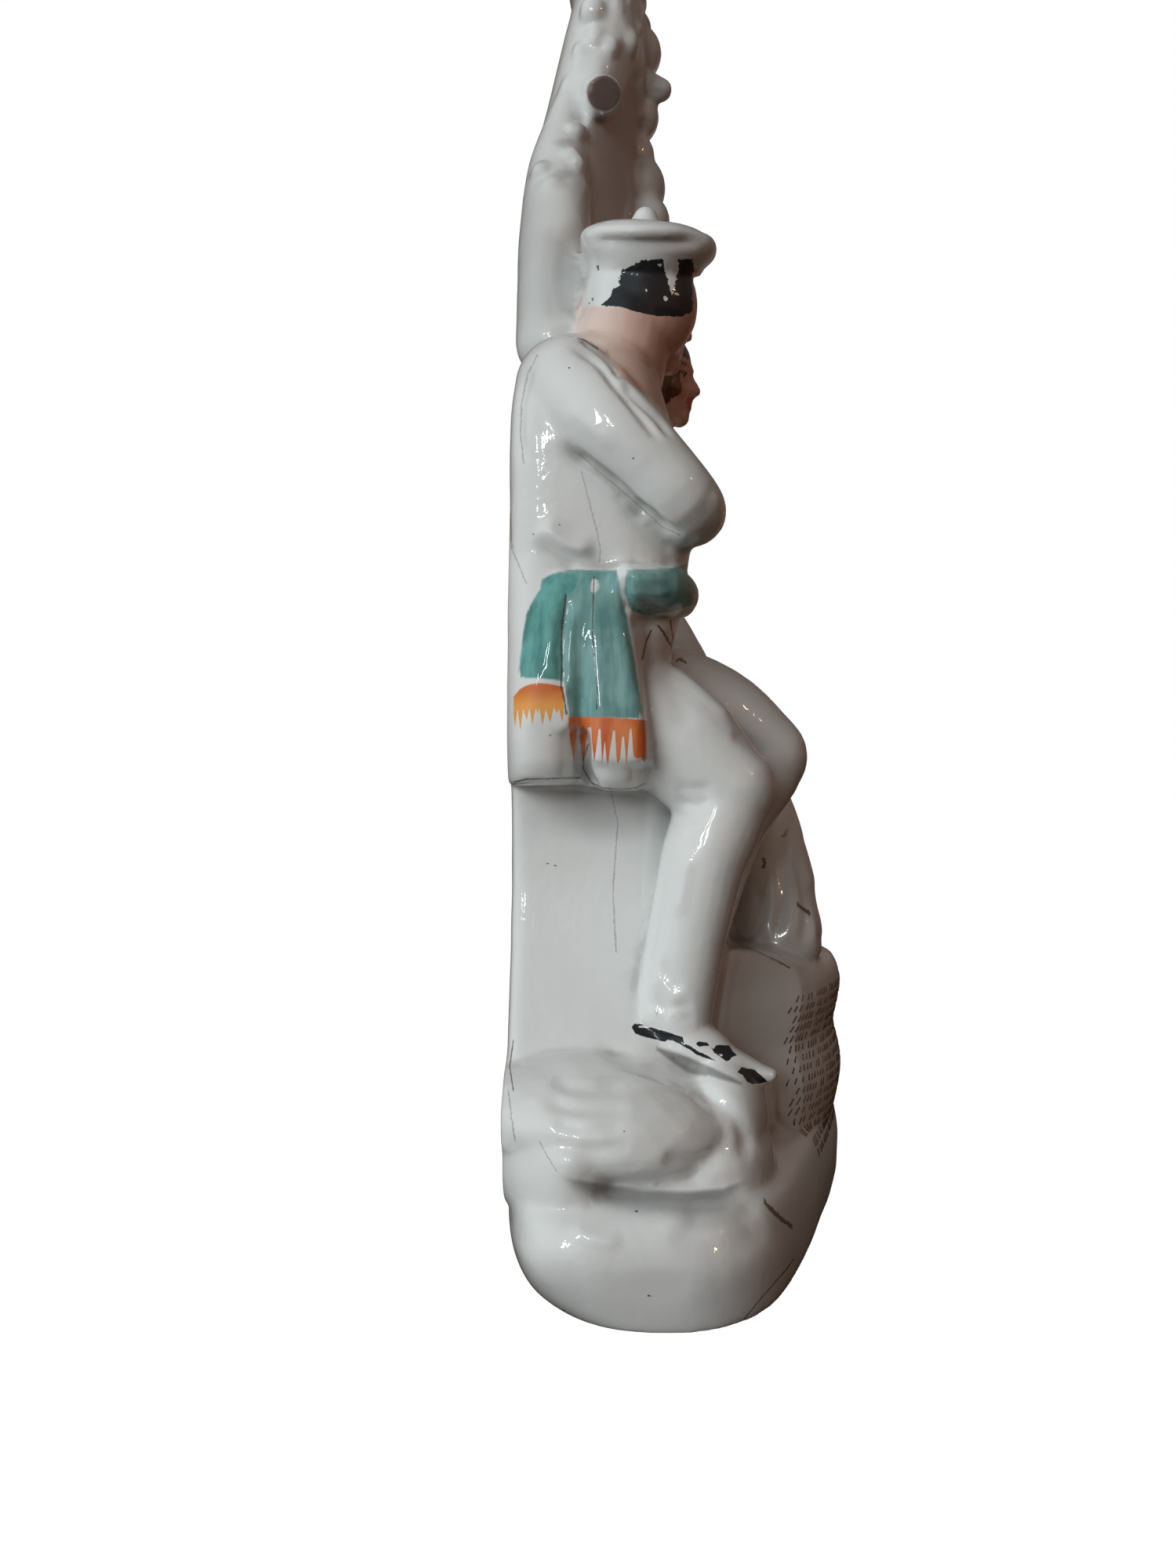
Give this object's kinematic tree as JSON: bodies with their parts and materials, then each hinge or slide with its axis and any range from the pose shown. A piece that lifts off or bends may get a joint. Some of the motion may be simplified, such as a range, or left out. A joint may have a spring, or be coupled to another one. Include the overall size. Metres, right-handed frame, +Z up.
{
  "type": "spill vase",
  "caption": "Hollow glazed earthenware vase moulded as a seated couple before a tree trunk, standing on a rocky base; the trunk's open top holds spills or stems.",
  "frame": {"origin": "middle of the underside's bounding rectangle, on the surface it stands on", "axes": "+Z up, the modelled front faces -Y, the flat back faces +Y, and the seated man is on the -X side"},
  "size_m": [0.2052, 0.08, 0.3117],
  "materials": {
    "glazed_earthenware": "glossy lead glaze over white earthenware, with enamel colours painted on it"
  },
  "bodies": {
    "root": {"spill_vase_group": "glazed_earthenware"}
  },
  "joints": []
}
